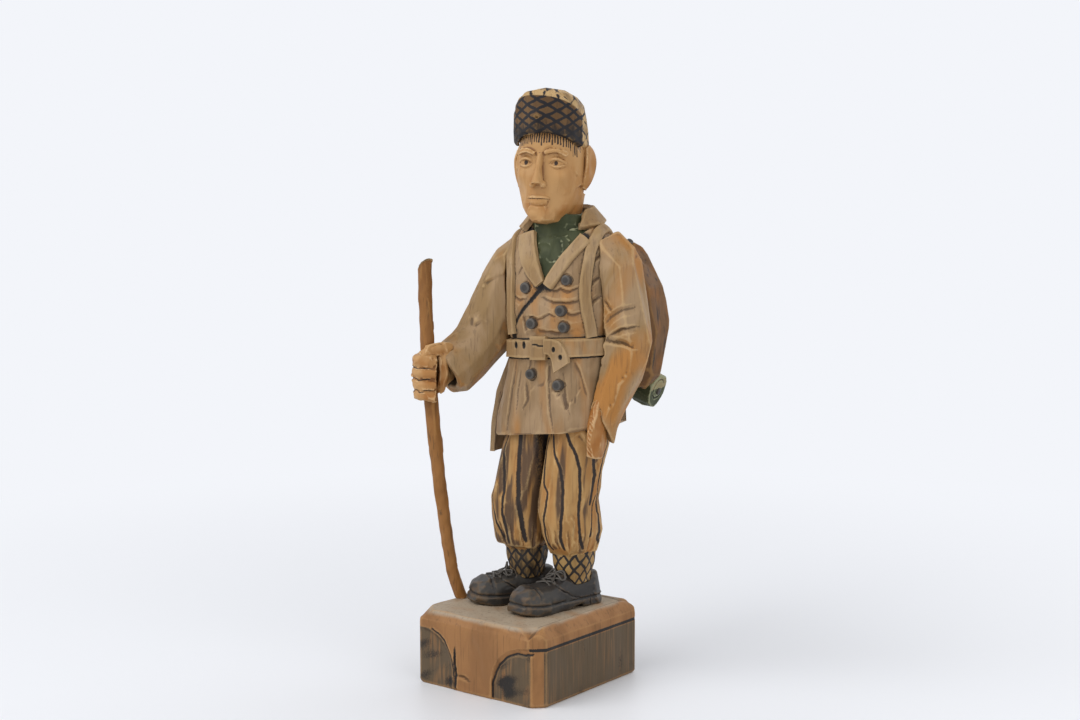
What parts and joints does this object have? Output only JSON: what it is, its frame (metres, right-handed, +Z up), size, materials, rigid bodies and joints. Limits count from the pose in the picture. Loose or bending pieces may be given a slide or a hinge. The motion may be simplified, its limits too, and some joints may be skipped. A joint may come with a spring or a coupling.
{
  "type": "carved wooden figure",
  "caption": "Knife-carved standing hiker in cap, belted coat and knee breeches, with rucksack, bedroll and walking stick, on a chamfered block base.",
  "frame": {"origin": "centre of the base block's underside", "axes": "+Z up, the figure faces -Y, its left hand side is +X"},
  "size_m": [0.1617, 0.1606, 0.4374],
  "materials": {
    "base_wood": "dusty matt wood with burnt dark side panels",
    "shoe_stain": "dark grey-black stain, satin, worn brown on the edges",
    "sock_stain": "light stain with burnt dark lattice",
    "trouser_stain": "tan stain with dark burnt stripes",
    "coat_stain": "matt beige-brown stain, orange where the knife cut fresh wood",
    "black_peg": "black stained round pegs",
    "green_paint": "thin dark green paint",
    "bare_wood": "bare pale wood, lightly waxed",
    "cap_stain": "brown stain with burnt black lattice",
    "sack_stain": "orange-brown stain with dark streaks",
    "stick_wood": "orange-brown twig, satin",
    "dowel_wood": "plain pale dowel wood"
  },
  "bodies": {
    "root": {"left_shoe": "shoe_stain", "left_sock": "sock_stain", "left_trouser_leg": "trouser_stain", "right_shoe": "shoe_stain", "right_sock": "sock_stain", "right_trouser_leg": "trouser_stain", "coat": "coat_stain", "sweater": "green_paint", "right_sleeve": "coat_stain", "right_hand": "bare_wood", "walking_stick": "stick_wood", "left_sleeve": "coat_stain", "left_hand": "bare_wood", "head": "bare_wood", "cap_crown": "cap_stain", "cap_peak": "cap_stain", "rucksack": "sack_stain", "bedroll": "green_paint", "left_leg_dowel": "dowel_wood", "left_hip_dowel": "dowel_wood", "left_shoulder_dowel": "dowel_wood", "rucksack_dowel_left": "dowel_wood", "bedroll_dowel_left": "dowel_wood", "right_leg_dowel": "dowel_wood", "right_hip_dowel": "dowel_wood", "right_shoulder_dowel": "dowel_wood", "rucksack_dowel_right": "dowel_wood", "bedroll_dowel_right": "dowel_wood", "neck_dowel": "dowel_wood", "cap_dowel": "cap_stain", "peak_dowel": "dowel_wood", "right_wrist_dowel": "dowel_wood", "left_wrist_dowel": "dowel_wood", "coat_button_1": "black_peg", "coat_button_2": "black_peg", "coat_button_3": "black_peg", "coat_button_4": "black_peg", "coat_button_5": "black_peg", "coat_button_6": "black_peg", "coat_button_7": "black_peg", "rucksack_knob": "black_peg", "bedroll_core": "black_peg", "base_block": "base_wood"}
  },
  "joints": []
}
